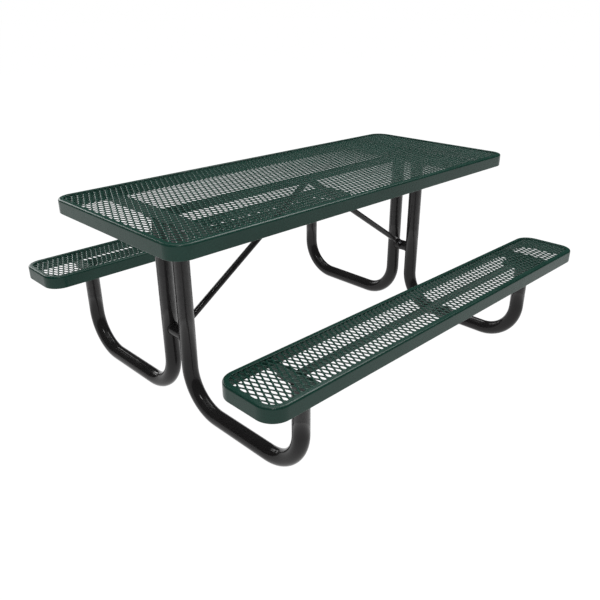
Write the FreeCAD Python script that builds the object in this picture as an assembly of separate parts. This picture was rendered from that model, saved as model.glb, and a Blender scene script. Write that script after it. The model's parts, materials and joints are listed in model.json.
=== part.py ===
import FreeCAD, Part
import math
import os
from FreeCAD import Vector

# A six-foot expanded-metal picnic table: one top, two seats, four bent-tube legs, two braces.
# Millimetres, +Z up. The origin is on the floor under the centre of the top.
# "left" is the -X end, "right" the +X end, "near" the -Y seat and "far" the +Y seat.

# --- Driving dimensions ---------------------------------------------------------------------
LENGTH = 1829.0             # top and seats, end to end
TOP_WIDTH = 762.0
TOP_HEIGHT = 800.0          # floor to the top's upper face
SEAT_WIDTH = 254.0
SEAT_HEIGHT = 436.0         # floor to a seat's upper face
SEAT_OFFSET = 650.5         # centre of the table to the centre of a seat

# Rim: an L-section frame with rounded corners, coated all over
RIM_SKIRT_HEIGHT = 51.5
RIM_SKIRT_THICKNESS = 5.0
RIM_FLANGE_WIDTH = 21.0
RIM_FLANGE_THICKNESS = 4.0
RIM_CORNER_RADIUS = 66.0
RIM_TOP_EDGE_RADIUS = 7.0
RIM_BOTTOM_EDGE_RADIUS = 1.5

# Expanded metal panel, welded up under the rim's flange. One opening in the solid stands for a
# block of real ones, so that a sheet with thousands of them stays a light file.
MESH_BLOCK = 2              # real openings along each side of the block
MESH_PITCH_LONG = 45.94 * MESH_BLOCK        # repeat across the width (Y)
MESH_PITCH_SHORT = 21.87 * MESH_BLOCK       # repeat along the length (X)
MESH_OPENING_LONG = 33.0 * MESH_BLOCK
MESH_OPENING_SHORT = 15.7 * MESH_BLOCK
MESH_THICKNESS = 6.0
MESH_INSET = 8.0            # rim's outer face to the panel's edge
MESH_BORDER = 3.0           # panel's edge to the first opening
MESH_SMALLEST_OPENING = 12.0    # mm2; a clipped opening smaller than this is closed by the coating
CORNER_STEPS = 12           # facets per rounded corner when an opening is clipped

# Flat bar and angle welded under each panel
BAR_THICKNESS = 5.0
CENTRE_BAR_DEPTH = 32.0
CROSS_POSITION = 702.0      # centre of the table to a cross member's inner face
CROSS_THICKNESS = 6.0
SEAT_CROSS_DEPTH = 38.0
TOP_ANGLE_FLANGE = 61.0     # outer face to the free edge
TOP_ANGLE_THICKNESS = 6.0
SEAT_PAD_LENGTH = 160.0     # along Y
SEAT_PAD_WIDTH = 57.0       # along X
PLATE_THICKNESS = 6.0

# Legs: 2-3/8 in tube bent to a J
LEG_POSITION = 681.0        # centre of the table to a leg's plane
TUBE_RADIUS = 30.15
TUBE_WALL = 3.0
BEND_RADIUS = 158.0
UPRIGHT_OFFSET = 55.5       # centre of the table to a centre upright's axis
TOP_PLATE_LENGTH = 240.0
TOP_PLATE_WIDTH = 56.0

# Tie between the two centre uprights of an end: 1.9 in tube, with a lug for the brace
TIE_RADIUS = 24.15
TIE_WALL = 3.0
TIE_HEIGHT = 314.0          # floor to the tie's axis
LUG_THICKNESS = 5.0
LUG_RADIUS = 15.0
LUG_FOOT = ((-13.0, -17.0), (-9.0, 22.0))   # corners inside the tie's wall, (X, Z) from its axis
LUG_TANGENTS = (45.0, 227.0)    # degrees round the eye where the lug's edges meet it

# Braces: 1 in tube with both ends flattened
BRACE_TUBE_RADIUS = 12.7
BRACE_TUBE_WALL = 2.1
BRACE_FLAT_WIDTH = 29.0
BRACE_FLAT_THICKNESS = 5.0
BRACE_FLAT_LENGTH = 16.0    # bolt centre to the start of the taper
BRACE_TAPER_LENGTH = 34.0
BRACE_TOP_BOLT_HEIGHT = 773.0
BRACE_FOOT_BOLT_HEIGHT = 338.5
BRACE_FOOT_BOLT_POSITION = 650.0

# Fasteners: 3/8 in hex bolts, washers and nuts
BOLT_RADIUS = 4.76
BOLT_HOLE_RADIUS = 5.5
HEX_ACROSS_FLATS = 14.3
HEAD_HEIGHT = 6.0
NUT_HEIGHT = 8.0
NUT_BORE_CLEARANCE = 0.1
WASHER_RADIUS = 11.0
WASHER_THICKNESS = 2.0
THREAD_PROJECTION = 3.0     # bolt end beyond its nut
TOP_BOLT_X = (660.0, 689.0)
TOP_BOLT_Y = 100.0
SEAT_BOLT_SPREAD = 60.0     # leg axis to a seat bolt

# --- Places that follow from them -----------------------------------------------------------
UP = Vector(0, 0, 1)
TOP_MESH_TOP = TOP_HEIGHT - RIM_FLANGE_THICKNESS
TOP_MESH_BOTTOM = TOP_MESH_TOP - MESH_THICKNESS
TOP_RIM_BOTTOM = TOP_HEIGHT - RIM_SKIRT_HEIGHT
SEAT_MESH_TOP = SEAT_HEIGHT - RIM_FLANGE_THICKNESS
SEAT_MESH_BOTTOM = SEAT_MESH_TOP - MESH_THICKNESS
SEAT_CROSS_BOTTOM = SEAT_MESH_BOTTOM - SEAT_CROSS_DEPTH
SEAT_PAD_BOTTOM = SEAT_CROSS_BOTTOM - PLATE_THICKNESS
SEAT_PLATE_BOTTOM = SEAT_PAD_BOTTOM - PLATE_THICKNESS
TOP_PLATE_BOTTOM = TOP_RIM_BOTTOM - PLATE_THICKNESS
CROSS_OUTER_FACE = CROSS_POSITION + CROSS_THICKNESS
SEAT_PAD_CENTRE = CROSS_OUTER_FACE - SEAT_PAD_WIDTH / 2
TOP_PLATE_CENTRE = CROSS_OUTER_FACE - TOP_ANGLE_FLANGE / 2
BRACE_OFFSET = (BAR_THICKNESS + BRACE_FLAT_THICKNESS) / 2   # table's centre plane to a brace's
HALF_TURN = 180.0

ENDS = (("left", -1), ("right", 1))
SIDES = (("near", -1), ("far", 1))

NODES = {}


# --- Helpers --------------------------------------------------------------------------------
def box(x_range, y_range, z_range):
    """Block between three pairs of coordinates, each pair in any order."""
    low = Vector(min(x_range), min(y_range), min(z_range))
    size = [abs(pair[1] - pair[0]) for pair in (x_range, y_range, z_range)]
    return Part.makeBox(size[0], size[1], size[2], low)


def rod(radius, start, end):
    """Solid cylinder between two points."""
    axis = Vector(*end).sub(Vector(*start))
    return Part.makeCylinder(radius, axis.Length, Vector(*start), axis)


def polygon_wire(points):
    """Closed wire through a list of vectors."""
    return Part.makePolygon(points + [points[0]])


def rounded_rectangle(length, width, radius, centre, height):
    """Face of a rectangle with round corners, centred on (0, centre) at a height."""
    x = length / 2 - radius
    y = width / 2 - radius
    corners = ((x, y, 0), (-x, y, 90), (-x, -y, 180), (x, -y, 270))
    edges = []
    points = []
    for corner_x, corner_y, start in corners:
        middle = Vector(corner_x, centre + corner_y, height)
        arc = Part.makeCircle(radius, middle, UP, start, start + 90)
        points.append((arc.Vertexes[0].Point, arc.Vertexes[-1].Point))
        edges.append(arc)
    for i, (_, arc_end) in enumerate(points):
        next_start = points[(i + 1) % len(points)][0]
        edges.append(Part.makeLine(arc_end, next_start))
    return Part.Face(Part.Wire(Part.__sortEdges__(edges)))


def rounded_slab(length, width, radius, centre, bottom, top):
    """Solid of a rounded rectangle between two heights."""
    face = rounded_rectangle(length, width, radius, centre, bottom)
    return face.extrude(Vector(0, 0, top - bottom))


def edges_at(shape, height):
    """Edges of a shape that lie flat at a height."""
    found = []
    for edge in shape.Edges:
        bounds = edge.BoundBox
        if abs(bounds.ZMin - height) < 1e-4 and abs(bounds.ZMax - height) < 1e-4:
            found.append(edge)
    return found


# --- Top and seats --------------------------------------------------------------------------
def rim(width, centre, top):
    """L-section frame: a skirt all round with a flange turned in along its upper edge."""
    bottom = top - RIM_SKIRT_HEIGHT
    body = rounded_slab(LENGTH, width, RIM_CORNER_RADIUS, centre, bottom, top)
    body = body.makeFillet(RIM_TOP_EDGE_RADIUS, edges_at(body, top))
    body = body.makeFillet(RIM_BOTTOM_EDGE_RADIUS, edges_at(body, bottom))
    skirt = 2 * RIM_SKIRT_THICKNESS
    pocket = rounded_slab(LENGTH - skirt, width - skirt, RIM_CORNER_RADIUS - RIM_SKIRT_THICKNESS,
                          centre, bottom - 1, top - RIM_FLANGE_THICKNESS)
    flange = 2 * RIM_FLANGE_WIDTH
    window = rounded_slab(LENGTH - flange, width - flange, RIM_CORNER_RADIUS - RIM_FLANGE_WIDTH,
                          centre, bottom - 1, top + 1)
    return body.cut(pocket).cut(window)


def rounded_outline(length, width, radius):
    """Corner points of a rounded rectangle about the origin, anticlockwise."""
    outline = []
    corners = ((1, 1, 0), (-1, 1, 90), (-1, -1, 180), (1, -1, 270))
    for sign_x, sign_y, start in corners:
        for step in range(CORNER_STEPS + 1):
            angle = math.radians(start + 90.0 * step / CORNER_STEPS)
            x = sign_x * (length / 2 - radius) + radius * math.cos(angle)
            y = sign_y * (width / 2 - radius) + radius * math.sin(angle)
            outline.append((x, y))
    return outline


def clip(points, outline):
    """Part of a polygon that lies inside a convex anticlockwise outline."""
    for i, start in enumerate(outline):
        end = outline[(i + 1) % len(outline)]
        edge = (end[0] - start[0], end[1] - start[1])
        kept = []
        for j, point in enumerate(points):
            before = points[j - 1]
            side = edge[0] * (point[1] - start[1]) - edge[1] * (point[0] - start[0])
            side_before = edge[0] * (before[1] - start[1]) - edge[1] * (before[0] - start[0])
            if side * side_before < 0:
                share = side_before / (side_before - side)
                kept.append((before[0] + share * (point[0] - before[0]),
                             before[1] + share * (point[1] - before[1])))
            if side >= 0:
                kept.append(point)
        points = kept
        if not points:
            break
    return points


def area(points):
    """Area of a polygon, positive if it runs anticlockwise."""
    total = 0.0
    for i, point in enumerate(points):
        before = points[i - 1]
        total += before[0] * point[1] - point[0] * before[1]
    return total / 2


def mesh_opening(x, y):
    """Diamond opening about a centre, anticlockwise."""
    return [(x + MESH_OPENING_SHORT / 2, y), (x, y + MESH_OPENING_LONG / 2),
            (x - MESH_OPENING_SHORT / 2, y), (x, y - MESH_OPENING_LONG / 2)]


def mesh_openings(width):
    """Every opening of a panel, clipped to the panel's border."""
    edge = 2 * (MESH_INSET + MESH_BORDER)
    radius = RIM_CORNER_RADIUS - MESH_INSET - MESH_BORDER
    outline = rounded_outline(LENGTH - edge, width - edge, radius)
    columns = int(LENGTH / MESH_PITCH_SHORT / 2) + 1
    rows = int(width / MESH_PITCH_LONG / 2) + 1
    openings = []
    for shift in (0.0, 0.5):
        for i in range(-columns, columns + 1):
            for j in range(-rows, rows + 1):
                centre = ((i + shift) * MESH_PITCH_SHORT, (j + shift) * MESH_PITCH_LONG)
                points = clip(mesh_opening(*centre), outline)
                if len(points) > 2 and area(points) > MESH_SMALLEST_OPENING:
                    openings.append(points)
    return openings


def mesh_panel(width, centre, top):
    """Sheet with staggered diamond openings. Hole wires run against the outer wire."""
    inset = 2 * MESH_INSET
    radius = RIM_CORNER_RADIUS - MESH_INSET
    bottom = top - MESH_THICKNESS
    sheet = rounded_rectangle(LENGTH - inset, width - inset, radius, centre, bottom)
    holes = []
    for points in mesh_openings(width):
        corners = [Vector(x, centre + y, bottom) for x, y in reversed(points)]
        holes.append(polygon_wire(corners))
    face = Part.Face([sheet.OuterWire] + holes)
    return face.extrude(Vector(0, 0, MESH_THICKNESS))


def centre_bar(centre, top):
    """Flat bar on edge along the middle of a panel, between its two cross members."""
    half = BAR_THICKNESS / 2
    return box((-CROSS_POSITION, CROSS_POSITION), (centre - half, centre + half),
               (top - CENTRE_BAR_DEPTH, top))


def top_angle(end):
    """Angle across the top: a web on edge and a flange turned in along its lower edge."""
    half = TOP_WIDTH / 2 - RIM_SKIRT_THICKNESS
    outer = end * CROSS_OUTER_FACE
    web = box((end * CROSS_POSITION, outer), (-half, half), (TOP_RIM_BOTTOM, TOP_MESH_BOTTOM))
    flange = box((outer - end * TOP_ANGLE_FLANGE, outer), (-half, half),
                 (TOP_RIM_BOTTOM, TOP_RIM_BOTTOM + TOP_ANGLE_THICKNESS))
    return web.fuse(flange).removeSplitter().cut(bolt_holes(top_bolt_points(end)))


def seat_cross(centre, end):
    """Flat bar on edge across a seat."""
    half = SEAT_WIDTH / 2 - RIM_SKIRT_THICKNESS
    return box((end * CROSS_POSITION, end * CROSS_OUTER_FACE), (centre - half, centre + half),
               (SEAT_CROSS_BOTTOM, SEAT_MESH_BOTTOM))


def seat_plate(centre, end, top):
    """Drilled plate: the seat's own pad, and the one on the leg that bolts up to it."""
    middle = end * SEAT_PAD_CENTRE
    plate = box((middle - SEAT_PAD_WIDTH / 2, middle + SEAT_PAD_WIDTH / 2),
                (centre - SEAT_PAD_LENGTH / 2, centre + SEAT_PAD_LENGTH / 2),
                (top - PLATE_THICKNESS, top))
    return plate.cut(bolt_holes(seat_bolt_points(centre, end)))


def top_plate(end):
    """Drilled plate across the heads of both centre uprights."""
    middle = end * TOP_PLATE_CENTRE
    plate = box((middle - TOP_PLATE_WIDTH / 2, middle + TOP_PLATE_WIDTH / 2),
                (-TOP_PLATE_LENGTH / 2, TOP_PLATE_LENGTH / 2), (TOP_PLATE_BOTTOM, TOP_RIM_BOTTOM))
    return plate.cut(bolt_holes(top_bolt_points(end)))


# --- Legs, ties and braces ------------------------------------------------------------------
def leg_path(end, side):
    """Centreline of a J leg, from under the top, along the floor, up to under the seat."""
    x = end * LEG_POSITION
    inner = side * UPRIGHT_OFFSET
    outer = side * SEAT_OFFSET
    low = TUBE_RADIUS
    bend = BEND_RADIUS
    diagonal = bend * (1 - math.sqrt(0.5))
    head = Vector(x, inner, TOP_PLATE_BOTTOM)
    inner_start = Vector(x, inner, low + bend)
    inner_middle = Vector(x, inner + side * diagonal, low + diagonal)
    inner_end = Vector(x, inner + side * bend, low)
    outer_start = Vector(x, outer - side * bend, low)
    outer_middle = Vector(x, outer - side * diagonal, low + diagonal)
    outer_end = Vector(x, outer, low + bend)
    tail = Vector(x, outer, SEAT_PLATE_BOTTOM)
    edges = [Part.makeLine(head, inner_start),
             Part.Arc(inner_start, inner_middle, inner_end).toShape(),
             Part.makeLine(inner_end, outer_start),
             Part.Arc(outer_start, outer_middle, outer_end).toShape(),
             Part.makeLine(outer_end, tail)]
    return Part.Wire(edges)


def swept_round(path, radius):
    """Round bar along a wire that starts straight down."""
    start = path.OrderedVertexes[0].Point
    circle = Part.Wire(Part.makeCircle(radius, start, UP))
    return path.makePipeShell([circle], True, True)


def leg(end, side):
    """Bent tube of one J leg."""
    path = leg_path(end, side)
    return swept_round(path, TUBE_RADIUS).cut(swept_round(path, TUBE_RADIUS - TUBE_WALL))


def tie(end):
    """Short tube between the two centre uprights, its ends coped to them."""
    x = end * LEG_POSITION
    start = (x, -UPRIGHT_OFFSET, TIE_HEIGHT)
    finish = (x, UPRIGHT_OFFSET, TIE_HEIGHT)
    section = rod(TIE_RADIUS, start, finish).cut(rod(TIE_RADIUS - TIE_WALL, start, finish))
    for _, side in SIDES:
        y = side * UPRIGHT_OFFSET
        upright_tube = rod(TUBE_RADIUS, (x, y, TIE_HEIGHT - 2 * TIE_RADIUS),
                           (x, y, TIE_HEIGHT + 2 * TIE_RADIUS))
        section = section.cut(upright_tube)
    return section


def lug(end):
    """Rounded tab on the inner side of the tie that the brace's foot bolts to."""
    half = LUG_THICKNESS / 2
    x = BRACE_FOOT_BOLT_POSITION
    z = BRACE_FOOT_BOLT_HEIGHT
    outline = [(LEG_POSITION + foot_x, TIE_HEIGHT + foot_z) for foot_x, foot_z in LUG_FOOT]
    for degrees in LUG_TANGENTS:
        angle = math.radians(degrees)
        outline.append((x + LUG_RADIUS * math.cos(angle), z + LUG_RADIUS * math.sin(angle)))
    corners = [Vector(end * px, -half, pz) for px, pz in outline]
    web = Part.Face(polygon_wire(corners)).extrude(Vector(0, LUG_THICKNESS, 0))
    eye = rod(LUG_RADIUS, (end * x, -half, z), (end * x, half, z))
    hole = rod(BOLT_HOLE_RADIUS, (end * x, -half - 1, z), (end * x, half + 1, z))
    tie_end = (end * LEG_POSITION, -UPRIGHT_OFFSET, TIE_HEIGHT)
    other_end = (end * LEG_POSITION, UPRIGHT_OFFSET, TIE_HEIGHT)
    tab = web.fuse(eye).removeSplitter().cut(hole)
    return tab.cut(rod(TIE_RADIUS, tie_end, other_end))


def brace_section(x, width, thickness):
    """Closed wire of four arcs across a brace: round for a tube, flattened near its ends."""
    half_width = width / 2
    half_thickness = thickness / 2
    points = [Vector(x, 0, half_width), Vector(x, half_thickness, 0),
              Vector(x, 0, -half_width), Vector(x, -half_thickness, 0)]
    curve = Part.BSplineCurve()
    curve.interpolate(Points=points, PeriodicFlag=True)
    return Part.Wire(curve.toShape())


def brace_body(length):
    """Round bar along +X between a brace's bolt centres, tapered to its flattened ends."""
    start = BRACE_FLAT_LENGTH
    tube = start + BRACE_TAPER_LENGTH
    tube_width = 2 * BRACE_TUBE_RADIUS
    solid = rod(BRACE_TUBE_RADIUS, (tube, 0, 0), (length - tube, 0, 0))
    for near_bolt, near_tube in ((start, tube), (length - start, length - tube)):
        flat = brace_section(near_bolt, BRACE_FLAT_WIDTH, BRACE_FLAT_THICKNESS)
        round_end = brace_section(near_tube, tube_width, tube_width)
        solid = solid.fuse(Part.makeLoft([flat, round_end], True))
    return solid


def brace(end):
    """Tube brace with flattened, drilled ends, from the centre bar down to a lug."""
    run = BRACE_FOOT_BOLT_POSITION
    drop = BRACE_TOP_BOLT_HEIGHT - BRACE_FOOT_BOLT_HEIGHT
    length = math.hypot(run, drop)
    half = BRACE_FLAT_THICKNESS / 2
    body = brace_body(length)
    for bolt, tip in ((0.0, BRACE_FLAT_LENGTH), (length, length - BRACE_FLAT_LENGTH)):
        flat = box((bolt, tip), (-half, half), (-BRACE_FLAT_WIDTH / 2, BRACE_FLAT_WIDTH / 2))
        eye = rod(BRACE_FLAT_WIDTH / 2, (bolt, -half, 0), (bolt, half, 0))
        hole = rod(BOLT_HOLE_RADIUS, (bolt, -half - 1, 0), (bolt, half + 1, 0))
        body = body.fuse([flat, eye]).cut(hole)
    tube = BRACE_FLAT_LENGTH + BRACE_TAPER_LENGTH
    bore = rod(BRACE_TUBE_RADIUS - BRACE_TUBE_WALL, (tube, 0, 0), (length - tube, 0, 0))
    body = body.cut(bore)
    body.rotate(Vector(0, 0, 0), Vector(0, 1, 0), math.degrees(math.atan2(drop, run)))
    body.translate(Vector(0, BRACE_OFFSET, BRACE_TOP_BOLT_HEIGHT))
    if end < 0:
        body.rotate(Vector(0, 0, 0), UP, HALF_TURN)
    return body


# --- Fasteners ------------------------------------------------------------------------------
def top_bolt_points(end):
    """Plan positions of the bolts between a top angle and its leg plate."""
    return [(end * x, side * TOP_BOLT_Y, TOP_RIM_BOTTOM) for x in TOP_BOLT_X for _, side in SIDES]


def seat_bolt_points(centre, end):
    """Plan positions of the bolts between a seat pad and its leg plate."""
    x = end * SEAT_PAD_CENTRE
    return [(x, centre + side * SEAT_BOLT_SPREAD, SEAT_PAD_BOTTOM) for _, side in SIDES]


def bolt_holes(points):
    """Upright drill for every point, long enough to pass any plate that rests there."""
    drill = 3 * PLATE_THICKNESS
    return [rod(BOLT_HOLE_RADIUS, (x, y, z - drill), (x, y, z + drill)) for x, y, z in points]


def hexagon(height):
    """Hexagonal prism standing on the origin along +Z."""
    radius = HEX_ACROSS_FLATS / math.sqrt(3)
    corners = []
    for i in range(6):
        angle = math.radians(60 * i + 30)
        corners.append(Vector(radius * math.cos(angle), radius * math.sin(angle), 0))
    return Part.Face(polygon_wire(corners)).extrude(Vector(0, 0, height))


def hex_bolt(grip):
    """Bolt with the underside of its head at the origin and its shank down -Z."""
    length = grip + WASHER_THICKNESS + NUT_HEIGHT + THREAD_PROJECTION
    return hexagon(HEAD_HEIGHT).fuse(rod(BOLT_RADIUS, (0, 0, 0), (0, 0, -length)))


def washer(grip):
    """Washer under the gripped plates."""
    ring = rod(WASHER_RADIUS, (0, 0, -grip), (0, 0, -grip - WASHER_THICKNESS))
    return ring.cut(rod(BOLT_HOLE_RADIUS, (0, 0, 0), (0, 0, -grip - 2 * WASHER_THICKNESS)))


def nut(grip):
    """Nut below the washer, its bore a hair wider than the bolt."""
    block = hexagon(NUT_HEIGHT)
    block.translate(Vector(0, 0, -grip - WASHER_THICKNESS - NUT_HEIGHT))
    bore = rod(BOLT_RADIUS + NUT_BORE_CLEARANCE, (0, 0, 0), (0, 0, -grip - 2 * NUT_HEIGHT))
    return block.cut(bore)


def fastener_set(name, places, grips):
    """Nodes for the bolts, washers and nuts of one joint, one solid per place."""
    for kind, make in (("bolts", hex_bolt), ("washers", washer), ("nuts", nut)):
        solids = []
        for place, grip in zip(places, grips):
            solid = make(grip)
            solid.Placement = place
            solids.append(solid)
        NODES[name + "_" + kind] = Part.makeCompound(solids)


def upright(points, lift):
    """Placements that stand a bolt upright, its head seated a lift above each point."""
    turn = FreeCAD.Rotation(UP, 0)
    return [FreeCAD.Placement(Vector(x, y, z + lift), turn) for x, y, z in points]


def top_fasteners():
    """Four bolts at each end, down through the top's angle and the leg plate."""
    points = [point for _, end in ENDS for point in top_bolt_points(end)]
    grip = TOP_ANGLE_THICKNESS + PLATE_THICKNESS
    fastener_set("top", upright(points, TOP_ANGLE_THICKNESS), [grip] * len(points))


def seat_fasteners():
    """Two bolts at each of the four seat supports, down through both plates."""
    points = []
    for _, end in ENDS:
        for _, side in SIDES:
            points += seat_bolt_points(side * SEAT_OFFSET, end)
    grip = 2 * PLATE_THICKNESS
    fastener_set("seat", upright(points, PLATE_THICKNESS), [grip] * len(points))


def brace_fasteners():
    """One bolt through both braces and the centre bar, and one at each lug."""
    outer_face = BAR_THICKNESS / 2 + BRACE_FLAT_THICKNESS
    head_near = FreeCAD.Rotation(Vector(1, 0, 0), 90)
    head_far = FreeCAD.Rotation(Vector(1, 0, 0), -90)
    foot = (BRACE_FOOT_BOLT_POSITION, BRACE_FOOT_BOLT_HEIGHT)
    places = [FreeCAD.Placement(Vector(0, -outer_face, BRACE_TOP_BOLT_HEIGHT), head_near),
              FreeCAD.Placement(Vector(-foot[0], -outer_face, foot[1]), head_near),
              FreeCAD.Placement(Vector(foot[0], outer_face, foot[1]), head_far)]
    lug_grip = BRACE_FLAT_THICKNESS + LUG_THICKNESS
    fastener_set("brace", places, [2 * BRACE_FLAT_THICKNESS + BAR_THICKNESS, lug_grip, lug_grip])


# --- Assembly -------------------------------------------------------------------------------
def build_top():
    """Rim, panel, centre bar and the two angles of the table top."""
    NODES["top_rim"] = rim(TOP_WIDTH, 0.0, TOP_HEIGHT)
    NODES["top_mesh"] = mesh_panel(TOP_WIDTH, 0.0, TOP_MESH_TOP)
    bolt_hole = rod(BOLT_HOLE_RADIUS, (0, -BAR_THICKNESS, BRACE_TOP_BOLT_HEIGHT),
                    (0, BAR_THICKNESS, BRACE_TOP_BOLT_HEIGHT))
    NODES["top_centre_bar"] = centre_bar(0.0, TOP_MESH_BOTTOM).cut(bolt_hole)
    for name, end in ENDS:
        NODES["top_angle_" + name] = top_angle(end)


def build_seats():
    """Rim, panel, centre bar, cross bars and pads of each seat."""
    for seat, side in SIDES:
        centre = side * SEAT_OFFSET
        prefix = "seat_" + seat + "_"
        NODES[prefix + "rim"] = rim(SEAT_WIDTH, centre, SEAT_HEIGHT)
        NODES[prefix + "mesh"] = mesh_panel(SEAT_WIDTH, centre, SEAT_MESH_TOP)
        NODES[prefix + "centre_bar"] = centre_bar(centre, SEAT_MESH_BOTTOM)
        for name, end in ENDS:
            NODES[prefix + "cross_" + name] = seat_cross(centre, end)
            NODES[prefix + "pad_" + name] = seat_plate(centre, end, SEAT_CROSS_BOTTOM)


def build_frame():
    """Legs with their plates, the ties between them and the two braces."""
    for name, end in ENDS:
        NODES["top_plate_" + name] = top_plate(end)
        NODES["tie_" + name] = tie(end)
        NODES["lug_" + name] = lug(end)
        NODES["brace_" + name] = brace(end)
        for seat, side in SIDES:
            NODES["leg_" + name + "_" + seat] = leg(end, side)
            NODES["seat_plate_" + name + "_" + seat] = seat_plate(side * SEAT_OFFSET, end, SEAT_PAD_BOTTOM)


def main():
    """Build every node and write one file for each."""
    build_top()
    build_seats()
    build_frame()
    top_fasteners()
    seat_fasteners()
    brace_fasteners()
    os.makedirs("parts", exist_ok=True)
    for name, shape in NODES.items():
        shape.exportStep(os.path.join("parts", name + ".step"))


main()
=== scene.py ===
import json
import math

import bmesh
import bpy
import numpy as np
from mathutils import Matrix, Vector

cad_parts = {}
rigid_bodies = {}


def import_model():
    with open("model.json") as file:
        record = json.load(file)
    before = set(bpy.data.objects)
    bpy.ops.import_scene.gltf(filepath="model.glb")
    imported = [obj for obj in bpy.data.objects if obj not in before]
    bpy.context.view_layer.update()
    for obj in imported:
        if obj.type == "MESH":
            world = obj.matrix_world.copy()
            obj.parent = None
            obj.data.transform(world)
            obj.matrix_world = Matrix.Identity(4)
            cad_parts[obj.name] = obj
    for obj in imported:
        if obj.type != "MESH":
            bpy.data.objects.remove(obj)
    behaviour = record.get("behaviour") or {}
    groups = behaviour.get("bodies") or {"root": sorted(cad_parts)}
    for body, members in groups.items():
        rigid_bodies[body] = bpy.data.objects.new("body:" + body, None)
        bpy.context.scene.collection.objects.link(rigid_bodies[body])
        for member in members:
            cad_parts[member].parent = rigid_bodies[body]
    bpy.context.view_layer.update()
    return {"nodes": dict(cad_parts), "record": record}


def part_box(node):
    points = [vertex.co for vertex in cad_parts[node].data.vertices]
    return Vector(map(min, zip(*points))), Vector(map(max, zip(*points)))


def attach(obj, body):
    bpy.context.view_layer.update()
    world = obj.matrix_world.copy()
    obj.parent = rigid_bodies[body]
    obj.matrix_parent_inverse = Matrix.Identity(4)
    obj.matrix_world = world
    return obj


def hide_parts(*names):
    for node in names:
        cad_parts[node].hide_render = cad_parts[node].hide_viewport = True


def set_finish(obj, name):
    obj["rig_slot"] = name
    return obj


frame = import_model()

# The looks of a coated expanded-metal picnic table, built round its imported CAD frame.
# Metres, +Z up. +X is the table's right end, -Y the near seat. Places come from the CAD nodes.
MM = 0.001

# --- Sizes that the CAD nodes' boxes don't give -------------------------------------------
RIM_CORNER_RADIUS = 66.0 * MM
RIM_SKIRT = 5.0 * MM                # thickness of the skirt
RIM_FLANGE_WIDTH = 21.0 * MM
RIM_FLANGE = 4.0 * MM               # thickness of the flange
RIM_EDGE_RADIUS = 7.5 * MM          # outer top edge
RIM_INNER_RADIUS = 2.5 * MM         # between the skirt and the flange, inside
CORNER_STEPS = 20                   # faces round a rim's corner
EDGE_STEPS = 8                      # faces round the rim's top edge and its flange's lip
FILLET_STEPS = 5                    # faces round the smaller curves of its section
SEAM_HALF_WIDTH = 0.9 * MM          # groove over the rim's butt weld
SEAM_DEPTH = 0.7 * MM

STRAND_PITCH_LONG = 45.94 * MM      # expanded metal's repeat across the table
STRAND_PITCH_SHORT = 21.87 * MM     # and along it
STRAND_WIDTH = 6.4 * MM
STRAND_HEIGHT = 3.9 * MM
STRAND_SECTION = ((0.0, 0.5), (0.6, 0.385), (0.98, 0.06), (0.74, -0.34), (0.0, -0.5))
KNUCKLE = 0.17                      # share of a strand's side taken by the knuckle at its end
PANEL_INSET = 9.0 * MM              # rim's outer face to the cut edge of the panel

TUBE_RADIUS = 30.15 * MM
BEND_RADIUS = 158.0 * MM
TUBE_SIDES = 48
BEND_STEPS = 28

BRACE_RADIUS = 12.7 * MM
BRACE_SIDES = 32
BRACE_FLAT_WIDTH = 29.0 * MM
BRACE_FLAT_THICKNESS = 5.0 * MM
BRACE_FLAT_LENGTH = 16.0 * MM       # bolt centre to the start of the taper
BRACE_TAPER_LENGTH = 34.0 * MM
BRACE_TAPER_STEPS = 14
BRACE_EYE_STEPS = 6                 # sections from a brace's tip to its bolt
ROUND = 2.0                         # power of the superellipse of a round section
SQUARED = 6.0                       # and of a flattened one

TIE_RADIUS = 24.15 * MM

WELD_RADIUS = 2.8 * MM
WELD_RIPPLE = 4.0 * MM              # length of one ripple along a bead
WELD_RIPPLE_DEPTH = 0.14            # share of the bead's radius
WELD_STEPS = 192                    # sections along a bead
WELD_SIDES = 8
TIE_WELD_LEAN = 0.5                 # of a tie's bead away from its upright

BEVEL_WIDTH = 1.0 * MM              # on the bars, plates and fasteners
BEVEL_ANGLE = 40.0                  # degrees; gentler edges stay as they are
SMOOTH_WEIGHT = 60                  # how strongly a broad face holds its normals

# --- Noise in the coatings: scale per metre, and detail -----------------------------------
COLOUR_NOISE = (6.0, 6.0)
GLOSS_NOISE = (38.0, 8.0)
GRAIN_DETAIL = 3.0

# --- Butt welds of the rims: x, and the side of the table that their long edge faces -------
RIM_SEAMS = {"top_rim": (0.5, 1), "seat_near_rim": (0.838, 1), "seat_far_rim": (-0.838, -1)}

# --- Studio: name, place, target, size and power of each soft box -------------------------
SOFT_BOXES = (("overhead", (0.0, 0.0, 3.6), (0.0, 0.0, 0.0), (4.0, 3.0), 70.0),
              ("back_panel", (0.3, 12.0, 5.0), (0.0, 0.0, 0.8), (5.3, 6.2), 460.0),
              ("side_panel", (3.6, 0.8, 5.5), (0.0, 0.0, 0.8), (5.2, 1.7), 195.0),
              ("key", (-2.2, -2.3, 4.0), (0.0, 0.0, 0.4), (0.4, 1.0), 45.0))
WHITE = (1.0, 1.0, 1.0, 1.0)
WORLD_AS_LIGHT = 0.03               # strength of the world for every ray but the camera's
FLOOR_REACH = 60.0
FLOOR_PAINT = (0.06, 0.06, 0.06, 1.0)
CAMERA_LENS = 38.64
CAMERA_SENSOR = 36.0
CAMERA_SHIFT = (-0.0117, 0.0052)
CAMERA_PLACE = (-1.8528, -1.8518, 1.4158)
CAMERA_TILT = -24.73                # degrees above the horizon
CAMERA_TURN = -44.93                # degrees from +Y, anticlockwise

ENDS = (("left", -1), ("right", 1))
SIDES = (("near", -1), ("far", 1))


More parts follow.
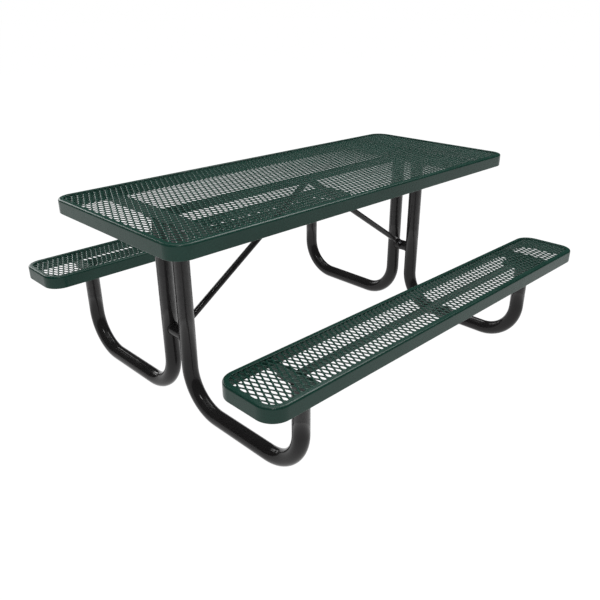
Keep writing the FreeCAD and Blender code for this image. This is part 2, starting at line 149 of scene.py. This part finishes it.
# --- Mesh helpers -------------------------------------------------------------------------
def new_piece(name, vertices, faces, slot, replaced=()):
    """Mesh object that rides on the table, smooth shaded."""
    mesh = bpy.data.meshes.new(name)
    mesh.from_pydata([tuple(v) for v in vertices], [], [tuple(f) for f in faces])
    mesh.validate()
    mesh.shade_smooth()
    piece = bpy.data.objects.new(name, mesh)
    bpy.context.scene.collection.objects.link(piece)
    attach(piece, "root")
    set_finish(piece, slot)
    if replaced:
        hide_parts(*replaced)
    return piece


def weight_normals(piece):
    """Keeps broad flat faces flat where they meet a rounded edge."""
    modifier = piece.modifiers.new("weighted_normals", "WEIGHTED_NORMAL")
    modifier.keep_sharp = True
    modifier.weight = SMOOTH_WEIGHT


def grid_faces(rows, columns, close_rows, close_columns):
    """Quads over a grid of vertices numbered row by row."""
    faces = []
    for i in range(rows if close_rows else rows - 1):
        for j in range(columns if close_columns else columns - 1):
            i2 = (i + 1) % rows
            j2 = (j + 1) % columns
            faces.append((i * columns + j, i * columns + j2, i2 * columns + j2, i2 * columns + j))
    return faces


def arc_points(centre, radius, start, end, steps):
    """Points on an arc in a plane, angles in degrees."""
    points = []
    for k in range(steps + 1):
        angle = math.radians(start + (end - start) * k / steps)
        points.append((centre[0] + radius * math.cos(angle), centre[1] + radius * math.sin(angle)))
    return points


# --- Rims ---------------------------------------------------------------------------------
def rounded_path(length, width, radius, seam):
    """Points and outward directions round a rounded rectangle, with how deep a seam cuts in.

    seam is (x, side of the long edge) of the butt weld."""
    path = []
    seam_x, seam_side = seam
    for sign_x, sign_y, start in ((1, 1, 0), (-1, 1, 90), (-1, -1, 180), (1, -1, 270)):
        corner = Vector((sign_x * (length / 2 - radius), sign_y * (width / 2 - radius)))
        for k in range(CORNER_STEPS + 1):
            angle = math.radians(start + 90.0 * k / CORNER_STEPS)
            outward = Vector((math.cos(angle), math.sin(angle)))
            path.append((corner + radius * outward, outward, 0.0))
        if sign_x == seam_side and sign_y == seam_side:
            middle = Vector((seam_x, seam_side * width / 2))
            outward = Vector((0.0, float(seam_side)))
            along = Vector((-float(seam_side), 0.0))
            for step, depth in ((-1.0, 0.0), (0.0, SEAM_DEPTH), (1.0, 0.0)):
                path.append((middle + step * SEAM_HALF_WIDTH * along, outward, depth))
    return path


def rim_profile(height):
    """Section of the rim as (distance in from the outer face, distance down from the top)."""
    edge = RIM_EDGE_RADIUS
    lip = RIM_FLANGE / 2
    foot = RIM_SKIRT / 2
    inner = RIM_INNER_RADIUS
    profile = arc_points((foot, height - foot), foot, 90, 180, FILLET_STEPS)
    profile += arc_points((edge, edge), edge, 180, 270, EDGE_STEPS)
    profile += arc_points((RIM_FLANGE_WIDTH - lip, lip), lip, -90, 90, EDGE_STEPS)
    profile += arc_points((RIM_SKIRT + inner, RIM_FLANGE + inner), inner, -90, -180, FILLET_STEPS)
    profile += arc_points((foot, height - foot), foot, 0, 90, FILLET_STEPS)[:-1]
    return profile


def rim(node, seam):
    """Coated frame round a panel: skirt, rounded edge and flange, swept round the corners."""
    low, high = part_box(node)
    centre = (low + high) / 2
    path = rounded_path(high.x - low.x, high.y - low.y, RIM_CORNER_RADIUS, seam)
    profile = rim_profile(high.z - low.z)
    middle = RIM_SKIRT / 2
    vertices = []
    for point, outward, depth in path:
        for inset, drop in profile:
            share = 1.0 if inset < RIM_FLANGE_WIDTH / 2 else 0.0
            sink = depth * share * (1.0 if inset < middle else -1.0)
            place = point - (inset + sink) * outward
            vertices.append((centre.x + place.x, centre.y + place.y, high.z - drop))
    faces = grid_faces(len(path), len(profile), True, True)
    weight_normals(new_piece(node + "_coated", vertices, faces, "green_coating", [node]))


# --- Expanded metal -----------------------------------------------------------------------
def strand_cell():
    """One opening of the expanded metal with half of each strand round it.

    Loops of eight points, from the strands' crown line down through the opening to the line below."""
    corners = [Vector((STRAND_PITCH_SHORT / 2, 0)), Vector((0, STRAND_PITCH_LONG / 2)),
               Vector((-STRAND_PITCH_SHORT / 2, 0)), Vector((0, -STRAND_PITCH_LONG / 2))]
    side = (corners[1] - corners[0]).length
    slant = STRAND_PITCH_LONG * STRAND_PITCH_SHORT / 2 / side
    outline = []
    for k, corner in enumerate(corners):
        following = corners[(k + 1) % 4]
        outline += [corner.lerp(following, KNUCKLE), corner.lerp(following, 1 - KNUCKLE)]
    loops = []
    for reach, height in STRAND_SECTION:
        scale = 1 - reach * STRAND_WIDTH / slant
        loops.append([(point.x * scale, point.y * scale, height * STRAND_HEIGHT) for point in outline])
    return np.array(loops)


def inside_outline(points, length, width, radius):
    """Signed clearance of points inside a rounded rectangle about the origin."""
    reach = np.abs(points) - np.array([length / 2 - radius, width / 2 - radius])
    outside = np.linalg.norm(np.maximum(reach, 0.0), axis=-1)
    return radius - outside - np.minimum(reach.max(axis=-1), 0.0)


def panel_cells(length, width, radius):
    """Centres of the openings: those wholly inside the panel, and those its edge cuts."""
    columns = int(length / STRAND_PITCH_SHORT / 2) + 1
    rows = int(width / STRAND_PITCH_LONG / 2) + 1
    tips = np.array([(STRAND_PITCH_SHORT / 2, 0), (0, STRAND_PITCH_LONG / 2),
                     (-STRAND_PITCH_SHORT / 2, 0), (0, -STRAND_PITCH_LONG / 2)])
    whole = []
    cut = []
    for shift in (0.0, 0.5):
        for i in range(-columns, columns + 1):
            for j in range(-rows, rows + 1):
                centre = np.array([(i + shift) * STRAND_PITCH_SHORT, (j + shift) * STRAND_PITCH_LONG])
                clearance = inside_outline(tips + centre, length, width, radius)
                if clearance.min() >= 0:
                    whole.append(centre)
                elif clearance.max() > 0:
                    cut.append(centre)
    return whole, cut


def tiled_cells(cell, centres, z):
    """Vertices and faces of a cell repeated at every centre, with the knuckle at its right."""
    loops, points = cell.shape[:2]
    template = grid_faces(loops, points, False, True)
    half_size = np.array([KNUCKLE * STRAND_PITCH_SHORT / 2, KNUCKLE * STRAND_PITCH_LONG / 2])
    corners = ((-1, -1), (1, -1), (1, 1), (-1, 1))
    vertices = []
    faces = []
    for centre in centres:
        start = len(vertices)
        shifted = cell + np.array([centre[0], centre[1], z])
        vertices += [tuple(point) for point in shifted.reshape(-1, 3)]
        faces += [tuple(start + index for index in face) for face in template]
        knuckle = centre + np.array([STRAND_PITCH_SHORT / 2, 0.0])
        for height, order in ((STRAND_SECTION[0][1], corners), (STRAND_SECTION[-1][1], corners[::-1])):
            start = len(vertices)
            for signs in order:
                vertices.append((*(knuckle + half_size * np.array(signs)), z + height * STRAND_HEIGHT))
            faces.append(tuple(range(start, start + 4)))
    return vertices, faces


def trimmed_bmesh(vertices, faces, length, width, radius):
    """Cells at the panel's edge, cut off along its straight sides and round its corners."""
    edge = bmesh.new()
    made = [edge.verts.new(point) for point in vertices]
    for face in faces:
        edge.faces.new([made[index] for index in face])
    steps = CORNER_STEPS // 4
    for sign_x, sign_y, start in ((1, 1, 0), (-1, 1, 90), (-1, -1, 180), (1, -1, 270)):
        corner = Vector((sign_x * (length / 2 - radius), sign_y * (width / 2 - radius), 0))
        for k in range(steps):
            angle = math.radians(start + 90.0 * k / steps)
            outward = Vector((math.cos(angle), math.sin(angle), 0))
            geometry = edge.verts[:] + edge.edges[:] + edge.faces[:]
            bmesh.ops.bisect_plane(edge, geom=geometry, plane_co=corner + radius * outward,
                                   plane_no=outward, clear_outer=True)
    return edge


def expanded_metal(node, rim_node):
    """Panel of diamond openings between rounded strands, trimmed to the inside of its rim."""
    rim_low, rim_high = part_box(rim_node)
    panel_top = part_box(node)[1].z
    centre = (rim_low + rim_high) / 2
    length = rim_high.x - rim_low.x - 2 * PANEL_INSET
    width = rim_high.y - rim_low.y - 2 * PANEL_INSET
    radius = RIM_CORNER_RADIUS - PANEL_INSET
    whole, cut = panel_cells(length, width, radius)
    cell = strand_cell()
    z = panel_top - STRAND_HEIGHT / 2
    edge = trimmed_bmesh(*tiled_cells(cell, cut, z), length, width, radius)
    vertices, faces = tiled_cells(cell, whole, z)
    made = [edge.verts.new(point) for point in vertices]
    for face in faces:
        edge.faces.new([made[index] for index in face])
    bmesh.ops.remove_doubles(edge, verts=edge.verts[:], dist=0.05 * MM)
    for vertex in edge.verts:
        vertex.co.x += centre.x
        vertex.co.y += centre.y
    panel = new_piece(node + "_strands", [], [], "green_coating", [node])
    edge.to_mesh(panel.data)
    edge.free()
    panel.data.shade_smooth()


# --- Tubes --------------------------------------------------------------------------------
def swept_tube(path, radii, sides, across):
    """Vertices and faces of a round bar along a path that stays at right angles to across."""
    vertices = []
    for k, point in enumerate(path):
        before = path[max(k - 1, 0)]
        after = path[min(k + 1, len(path) - 1)]
        ahead = (after - before).normalized()
        sideways = ahead.cross(across).normalized()
        for s in range(sides):
            angle = 2 * math.pi * s / sides
            offset = math.cos(angle) * sideways + math.sin(angle) * across
            vertices.append(point + radii[k] * offset)
    faces = grid_faces(len(path), sides, False, True)
    faces.append(tuple(range(sides)))
    faces.append(tuple(reversed(range((len(path) - 1) * sides, len(path) * sides))))
    return vertices, faces


def leg_path(node, side, top_plate, seat_plate):
    """Centreline of a J leg between its two plates."""
    low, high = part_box(node)
    x = (low.x + high.x) / 2
    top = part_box(top_plate)[0].z
    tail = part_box(seat_plate)[0].z
    inner = (low.y if side > 0 else high.y) + side * TUBE_RADIUS
    outer = (high.y if side > 0 else low.y) - side * TUBE_RADIUS
    floor = TUBE_RADIUS
    path = [Vector((x, inner, top))]
    for k in range(BEND_STEPS + 1):
        angle = math.radians(90.0 * k / BEND_STEPS)
        path.append(Vector((x, inner + side * BEND_RADIUS * (1 - math.cos(angle)),
                            floor + BEND_RADIUS * (1 - math.sin(angle)))))
    for k in range(BEND_STEPS + 1):
        angle = math.radians(90.0 * k / BEND_STEPS)
        path.append(Vector((x, outer - side * BEND_RADIUS * (1 - math.sin(angle)),
                            floor + BEND_RADIUS * (1 - math.cos(angle)))))
    path.append(Vector((x, outer, tail)))
    return path


def leg(end_name, side_name, side):
    """Bent tube of one J leg."""
    node = "leg_" + end_name + "_" + side_name
    path = leg_path(node, side, "top_plate_" + end_name, "seat_plate_" + end_name + "_" + side_name)
    vertices, faces = swept_tube(path, [TUBE_RADIUS] * len(path), TUBE_SIDES, Vector((1, 0, 0)))
    weight_normals(new_piece(node + "_tube", vertices, faces, "black_powder_coat", [node]))


def brace_half_sizes(distance):
    """Half width, half thickness and squareness of a brace at a distance from its bolt."""
    eye = BRACE_FLAT_WIDTH / 2
    start = BRACE_FLAT_LENGTH
    end = start + BRACE_TAPER_LENGTH
    if distance < 0:
        return math.sqrt(max(eye ** 2 - distance ** 2, 0.0)), BRACE_FLAT_THICKNESS / 2, SQUARED
    if distance < start:
        return eye, BRACE_FLAT_THICKNESS / 2, SQUARED
    if distance > end:
        return BRACE_RADIUS, BRACE_RADIUS, ROUND
    share = (distance - start) / (end - start)
    ease = share * share * (3 - 2 * share)
    return (eye + (BRACE_RADIUS - eye) * ease,
            BRACE_FLAT_THICKNESS / 2 + (BRACE_RADIUS - BRACE_FLAT_THICKNESS / 2) * ease,
            ROUND + (SQUARED - ROUND) * (1 - ease) ** 2)


def brace(end_name, end):
    """Round brace squeezed flat at both ends, from the centre bar to the lug."""
    node = "brace_" + end_name
    low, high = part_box(node)
    eye = BRACE_FLAT_WIDTH / 2
    top = Vector((0.0, 0.0, high.z - eye))
    foot_x = (high.x - eye) if end > 0 else (low.x + eye)
    foot = Vector((foot_x, 0.0, low.z + eye))
    offset = end * BRACE_FLAT_THICKNESS     # the two braces lie on opposite faces of the centre bar
    along = foot - top
    length = along.length
    along.normalize()
    across = Vector((0, 1, 0))
    upward = along.cross(across)
    turn = 90.0 / BRACE_EYE_STEPS
    stations = [-eye * math.cos(math.radians(turn * k)) for k in range(BRACE_EYE_STEPS)]
    taper = BRACE_TAPER_LENGTH / BRACE_TAPER_STEPS
    stations += [0.0, BRACE_FLAT_LENGTH / 2]
    stations += [BRACE_FLAT_LENGTH + taper * k for k in range(BRACE_TAPER_STEPS + 1)]
    distances = stations + [length / 2] + [length - s for s in reversed(stations)]
    vertices = []
    for distance in distances:
        nearest = min(distance, length - distance)
        half_width, half_thickness, square = brace_half_sizes(nearest)
        centre = top + distance * along + offset * across
        for s in range(BRACE_SIDES):
            angle = 2 * math.pi * s / BRACE_SIDES
            wide = math.copysign(abs(math.cos(angle)) ** (2 / square), math.cos(angle))
            thick = math.copysign(abs(math.sin(angle)) ** (2 / square), math.sin(angle))
            vertices.append(centre + half_width * wide * upward + half_thickness * thick * across)
    faces = grid_faces(len(distances), BRACE_SIDES, False, True)
    faces.append(tuple(range(BRACE_SIDES)))
    faces.append(tuple(reversed(range((len(distances) - 1) * BRACE_SIDES, len(distances) * BRACE_SIDES))))
    new_piece(node + "_tube", vertices, faces, "black_powder_coat", [node])


# --- Welds --------------------------------------------------------------------------------
def weld_bead(name, path, outward):
    """Closed rippled bead along a path, with the direction away from the joint at each point."""
    count = len(path)
    length = sum((path[(k + 1) % count] - path[k]).length for k in range(count))
    ripples = round(length / WELD_RIPPLE)
    vertices = []
    for k in range(count):
        ahead = (path[(k + 1) % count] - path[k - 1]).normalized()
        rise = (outward[k] - outward[k].dot(ahead) * ahead).normalized()
        sideways = ahead.cross(rise)
        radius = WELD_RADIUS * (1 + WELD_RIPPLE_DEPTH * math.cos(2 * math.pi * ripples * k / count))
        for s in range(WELD_SIDES):
            angle = 2 * math.pi * s / WELD_SIDES
            vertices.append(path[k] + radius * (math.cos(angle) * rise + math.sin(angle) * sideways))
    faces = [tuple(reversed(face)) for face in grid_faces(count, WELD_SIDES, True, True)]
    new_piece(name, vertices, faces, "black_powder_coat")


def ring_weld(name, x, y, z):
    """Bead round a leg's tube where it meets the plate at height z."""
    path = []
    outward = []
    for k in range(WELD_STEPS):
        angle = 2 * math.pi * k / WELD_STEPS
        direction = Vector((math.cos(angle), math.sin(angle), 0))
        path.append(Vector((x, y, z)) + TUBE_RADIUS * direction)
        outward.append(direction)
    weld_bead(name, path, outward)


def saddle_weld(name, x, y, z, side):
    """Bead round the tie's coped end, on the upright of one side."""
    path = []
    outward = []
    for k in range(WELD_STEPS):
        angle = 2 * math.pi * k / WELD_STEPS
        across = TIE_RADIUS * math.cos(angle)
        reach = math.sqrt(TUBE_RADIUS ** 2 - across ** 2)
        path.append(Vector((x + across, y - side * reach, z + TIE_RADIUS * math.sin(angle))))
        outward.append(Vector((math.cos(angle), -side * TIE_WELD_LEAN, math.sin(angle))))
    weld_bead(name, path, outward)


def leg_welds(end_name, side_name, side):
    """Beads at a leg's top plate, seat plate and tie."""
    leg_low, leg_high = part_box("leg_" + end_name + "_" + side_name)
    tie_low, tie_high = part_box("tie_" + end_name)
    x = (leg_low.x + leg_high.x) / 2
    inner = (leg_low.y if side > 0 else leg_high.y) + side * TUBE_RADIUS
    outer = (leg_high.y if side > 0 else leg_low.y) - side * TUBE_RADIUS
    name = end_name + "_" + side_name
    ring_weld("weld_head_" + name, x, inner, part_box("top_plate_" + end_name)[0].z)
    ring_weld("weld_tail_" + name, x, outer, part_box("seat_plate_" + name)[0].z)
    saddle_weld("weld_tie_" + name, x, inner, (tie_low.z + tie_high.z) / 2, side)


# --- Materials ----------------------------------------------------------------------------
def ramp(material, source, low, high):
    """Grey value from low to high as a source factor goes from 0.3 to 0.7."""
    mapped = material.node_tree.nodes.new("ShaderNodeMapRange")
    mapped.inputs["From Min"].default_value = 0.3
    mapped.inputs["From Max"].default_value = 0.7
    mapped.inputs["To Min"].default_value = low
    mapped.inputs["To Max"].default_value = high
    material.node_tree.links.new(source, mapped.inputs["Value"])
    return mapped.outputs["Result"]


def noise(material, place, scale, detail):
    """Cloudy factor over a piece, most of it between 0.3 and 0.7."""
    texture = material.node_tree.nodes.new("ShaderNodeTexNoise")
    texture.inputs["Scale"].default_value = scale
    texture.inputs["Detail"].default_value = detail
    material.node_tree.links.new(place, texture.inputs["Vector"])
    return texture.outputs["Fac"]


def coated_material(name, dark, light, roughness, grain, grain_depth, metallic=0.0, specular=0.5):
    """Painted or plated surface: patchy colour and gloss, and a fine skin of bumps."""
    material = bpy.data.materials.new(name)
    material.use_nodes = True
    nodes = material.node_tree.nodes
    links = material.node_tree.links
    shader = nodes["Principled BSDF"]
    shader.inputs["Metallic"].default_value = metallic
    shader.inputs["Specular IOR Level"].default_value = specular
    place = nodes.new("ShaderNodeTexCoord").outputs["Object"]

    patches = noise(material, place, *COLOUR_NOISE)
    colour = nodes.new("ShaderNodeMix")
    colour.data_type = "RGBA"
    colour.inputs["A"].default_value = (*dark, 1.0)
    colour.inputs["B"].default_value = (*light, 1.0)
    links.new(ramp(material, patches, 0.0, 1.0), colour.inputs["Factor"])
    links.new(colour.outputs["Result"], shader.inputs["Base Color"])

    gloss = noise(material, place, *GLOSS_NOISE)
    links.new(ramp(material, gloss, *roughness), shader.inputs["Roughness"])

    bump = nodes.new("ShaderNodeBump")
    bump.inputs["Distance"].default_value = grain_depth
    bump.inputs["Strength"].default_value = 1.0
    links.new(noise(material, place, grain, GRAIN_DETAIL), bump.inputs["Height"])
    links.new(bump.outputs["Normal"], shader.inputs["Normal"])
    return material


def make_materials():
    """One material for each of the record's slots."""
    return {
        "green_coating": coated_material(
            "green_thermoplastic", (0.008, 0.040, 0.029), (0.011, 0.050, 0.037), roughness=(0.22, 0.32),
            grain=260.0, grain_depth=0.05 * MM, specular=0.22),
        "black_powder_coat": coated_material(
            "black_powder", (0.017, 0.016, 0.0165), (0.023, 0.022, 0.0225), roughness=(0.12, 0.20),
            grain=420.0, grain_depth=0.03 * MM, specular=0.19),
        "zinc_fasteners": coated_material(
            "zinc_plate", (0.16, 0.16, 0.17), (0.25, 0.25, 0.26), roughness=(0.28, 0.45),
            grain=600.0, grain_depth=0.04 * MM, metallic=1.0),
    }


def slot_of(node):
    """Material slot of a CAD node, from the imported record."""
    for subpart in frame["record"]["subparts"]:
        if subpart["node"] == node:
            return subpart["material_slot"]
    return "green_coating"


def dress(piece, material):
    """Gives a piece its only material."""
    piece.data.materials.clear()
    piece.data.materials.append(material)


# --- Studio -------------------------------------------------------------------------------
def studio_floor():
    """Pale floor that stays white where soft shadow falls on it."""
    mesh = bpy.data.meshes.new("floor")
    corners = [(x * FLOOR_REACH, y * FLOOR_REACH, 0) for x, y in ((-1, -1), (1, -1), (1, 1), (-1, 1))]
    mesh.from_pydata(corners, [], [(0, 1, 2, 3)])
    floor = bpy.data.objects.new("floor", mesh)
    bpy.context.scene.collection.objects.link(floor)
    material = bpy.data.materials.new("floor_paint")
    material.use_nodes = True
    nodes = material.node_tree.nodes
    shader = nodes["Principled BSDF"]
    shader.inputs["Base Color"].default_value = FLOOR_PAINT
    shader.inputs["Roughness"].default_value = 1.0
    shader.inputs["Specular IOR Level"].default_value = 0.0
    shader.inputs["Emission Color"].default_value = WHITE
    shader.inputs["Emission Strength"].default_value = 1.0
    dress(floor, material)


def area_light(name, place, target, size, power):
    """Soft box that faces a target."""
    data = bpy.data.lights.new(name, "AREA")
    data.shape = "RECTANGLE"
    data.size = size[0]
    data.size_y = size[1]
    data.energy = power
    light = bpy.data.objects.new(name, data)
    light.location = place
    light.rotation_euler = (Vector(target) - Vector(place)).to_track_quat("-Z", "Y").to_euler()
    bpy.context.scene.collection.objects.link(light)


def studio_lights():
    """Soft boxes, and a world that is white to look at but dim as a light."""
    for soft_box in SOFT_BOXES:
        area_light(*soft_box)
    world = bpy.data.worlds.new("studio")
    world.use_nodes = True
    nodes = world.node_tree.nodes
    links = world.node_tree.links
    seen = nodes["Background"]
    seen.inputs["Color"].default_value = WHITE
    seen.inputs["Strength"].default_value = 1.0
    lit = nodes.new("ShaderNodeBackground")
    lit.inputs["Color"].default_value = WHITE
    lit.inputs["Strength"].default_value = WORLD_AS_LIGHT
    mix = nodes.new("ShaderNodeMixShader")
    links.new(nodes.new("ShaderNodeLightPath").outputs["Is Camera Ray"], mix.inputs["Fac"])
    links.new(lit.outputs["Background"], mix.inputs[1])
    links.new(seen.outputs["Background"], mix.inputs[2])
    links.new(mix.outputs["Shader"], nodes["World Output"].inputs["Surface"])
    bpy.context.scene.world = world


def studio_camera():
    """Camera at the viewing angle of the product picture."""
    data = bpy.data.cameras.new("camera")
    data.lens = CAMERA_LENS
    data.sensor_width = CAMERA_SENSOR
    data.shift_x, data.shift_y = CAMERA_SHIFT
    camera = bpy.data.objects.new("camera", data)
    camera.location = CAMERA_PLACE
    camera.rotation_euler = (math.radians(90 + CAMERA_TILT), 0.0, math.radians(CAMERA_TURN))
    bpy.context.scene.collection.objects.link(camera)
    bpy.context.scene.camera = camera


# --- Build --------------------------------------------------------------------------------
def build_pieces():
    """Every piece that stands for a CAD node with a finer mesh."""
    for node, seam in RIM_SEAMS.items():
        rim(node, seam)
    for panel in ("top", "seat_near", "seat_far"):
        expanded_metal(panel + "_mesh", panel + "_rim")
    for end_name, end in ENDS:
        brace(end_name, end)
        for side_name, side in SIDES:
            leg(end_name, side_name, side)
            leg_welds(end_name, side_name, side)


def bevel_cad_nodes():
    """Rounds the edges of the CAD nodes that are still shown."""
    for piece in frame["nodes"].values():
        bevel = piece.modifiers.new("eased_edges", "BEVEL")
        bevel.width = BEVEL_WIDTH
        bevel.segments = 2
        bevel.limit_method = "ANGLE"
        bevel.angle_limit = math.radians(BEVEL_ANGLE)
        weight_normals(piece)


def paint_everything():
    """Materials for the new pieces and for the CAD nodes that are still shown."""
    materials = make_materials()
    for node, piece in frame["nodes"].items():
        dress(piece, materials[slot_of(node)])
    for piece in bpy.context.scene.objects:
        if piece.type == "MESH" and "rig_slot" in piece:
            dress(piece, materials[piece["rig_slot"]])


build_pieces()
bevel_cad_nodes()
paint_everything()
studio_floor()
studio_lights()
studio_camera()
bpy.context.scene.view_settings.view_transform = "Standard"
